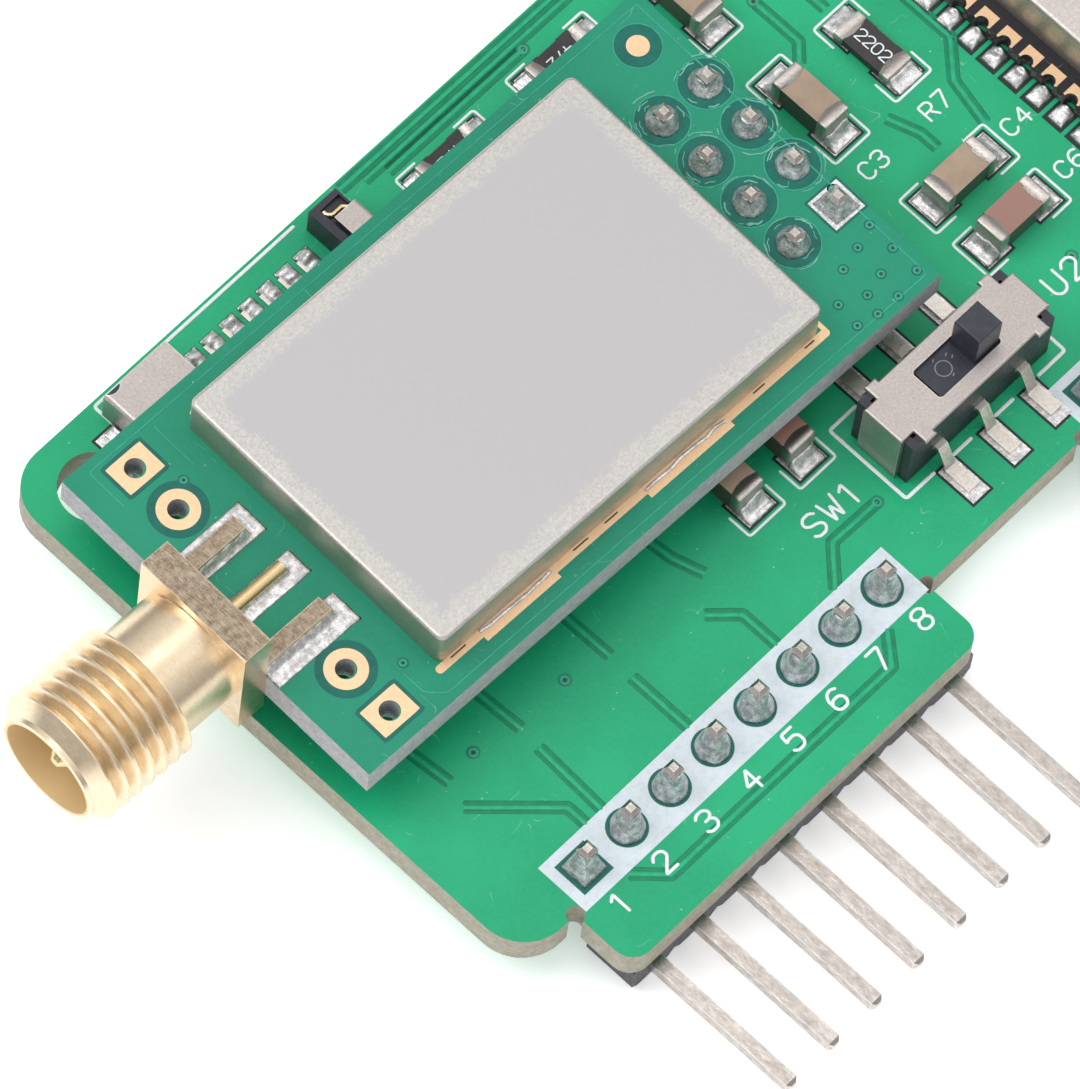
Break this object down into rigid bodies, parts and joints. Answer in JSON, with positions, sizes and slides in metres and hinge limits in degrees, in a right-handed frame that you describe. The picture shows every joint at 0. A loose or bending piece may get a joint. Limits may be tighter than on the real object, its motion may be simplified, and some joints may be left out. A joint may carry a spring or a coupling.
{
  "type": "add-on radio board",
  "caption": "Green add-on circuit board with a raised radio module and antenna connector, microSD socket, slide switch, Wi-Fi module, push buttons and two edge headers.",
  "frame": {"origin": "centre of the mounting hole on the underside of the main board", "axes": "+Z from the main board's underside towards its components, +X along its long edge away from the hole's end, so -Y points towards the header pins"},
  "size_m": [0.0789, 0.0405, 0.0113],
  "materials": {
    "board_green": "gloss",
    "board_dark_green": "gloss",
    "board_black": "satin",
    "plastic_black": "matte",
    "plastic_white": "matte",
    "chip_black": "matte",
    "ceramic_tan": "matte",
    "ptfe_white": "matte",
    "can_steel": "satin",
    "spring_steel": "bright",
    "pin_nickel": "satin",
    "solder": "bright",
    "gold": "bright"
  },
  "bodies": {
    "board": {"main_board": "board_green", "header_8_housing": "plastic_black", "header_8_pins": "pin_nickel", "header_8_solder": "solder", "header_10_housing": "plastic_black", "header_10_pins": "pin_nickel", "header_10_solder": "solder", "radio_header_housing": "plastic_black", "radio_header_pins": "pin_nickel", "radio_header_solder": "solder", "radio_board": "board_dark_green", "radio_can": "can_steel", "radio_chip": "chip_black", "radio_amplifier": "chip_black", "radio_crystal": "can_steel", "radio_passives": "ceramic_tan", "sma_body": "gold", "sma_insulator": "ptfe_white", "sma_center_contact": "gold", "sma_solder": "solder", "sd_shell": "can_steel", "sd_base": "plastic_black", "sd_contacts": "gold", "sd_spring": "spring_steel", "sd_cam_rod": "gold", "sd_solder": "solder", "switch_housing": "plastic_black", "switch_cover": "can_steel", "switch_terminals": "pin_nickel", "wifi_board": "board_black", "wifi_can": "can_steel", "wifi_chip": "chip_black", "wifi_flash": "chip_black", "wifi_crystal": "can_steel", "wifi_solder": "solder", "capacitor_bodies": "ceramic_tan", "capacitor_end_caps": "solder", "resistor_bodies": "chip_black", "resistor_end_caps": "solder", "chip_solder": "solder", "button_cases": "plastic_black", "button_covers": "can_steel", "boot_dome": "spring_steel", "reset_dome": "spring_steel", "button_terminals": "solder"},
    "switch_slider": {"switch_lever": "plastic_black", "switch_bridges": "gold"},
    "lock_slider": {"sd_slider": "plastic_black"},
    "boot_button": {"boot_plunger": "plastic_white"},
    "reset_button": {"reset_plunger": "plastic_white"}
  },
  "joints": [
    {"name": "switch_slide", "type": "slide", "parent": "board", "child": "switch_slider", "axis": [-1, 0, 0], "range_m": [0, 0.0021]},
    {"name": "card_lock_slide", "type": "slide", "parent": "board", "child": "lock_slider", "axis": [0, -1, 0], "range_m": [0, 0.0013], "stiffness_N_per_m": 600, "springref_m": -0.0008, "deforming": ["sd_spring"]},
    {"name": "boot_press", "type": "slide", "parent": "board", "child": "boot_button", "axis": [0, 0, -1], "range_m": [0, 0.00025], "stiffness_N_per_m": 3000, "springref_m": -0.0002, "deforming": ["boot_dome"]},
    {"name": "reset_press", "type": "slide", "parent": "board", "child": "reset_button", "axis": [0, 0, -1], "range_m": [0, 0.00025], "stiffness_N_per_m": 3000, "springref_m": -0.0002, "deforming": ["reset_dome"]}
  ]
}
